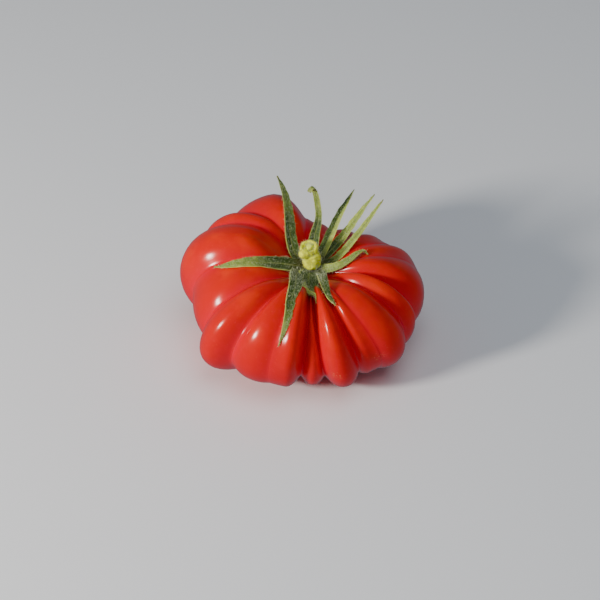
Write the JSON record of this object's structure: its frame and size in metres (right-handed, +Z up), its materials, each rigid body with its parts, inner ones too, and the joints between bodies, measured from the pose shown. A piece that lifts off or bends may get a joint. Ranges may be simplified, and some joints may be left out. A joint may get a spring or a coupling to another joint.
{
  "type": "tomato",
  "caption": "Ripe ribbed beefsteak tomato, wider than it is tall, with its star-shaped green calyx and a short broken stub of stem; a fresh vegetable for tables, crates and kitchens.",
  "frame": {"origin": "centre of the part's box seen from above, on the plane that the fruit rests on", "axes": "+Z up along the stem, +X along the fruit's widest side, -Y towards the side with the deep front crease, from which it is usually seen"},
  "size_m": [0.0948, 0.0872, 0.0618],
  "materials": {
    "skin": "smooth glossy tomato skin, red with orange shoulders",
    "calyx": "matt, finely haired green leaf",
    "stem": "matt, bumpy yellow-green stalk with fine hairs"
  },
  "bodies": {
    "root": {"fruit": "skin", "calyx": "calyx", "stem": "stem"}
  },
  "joints": []
}
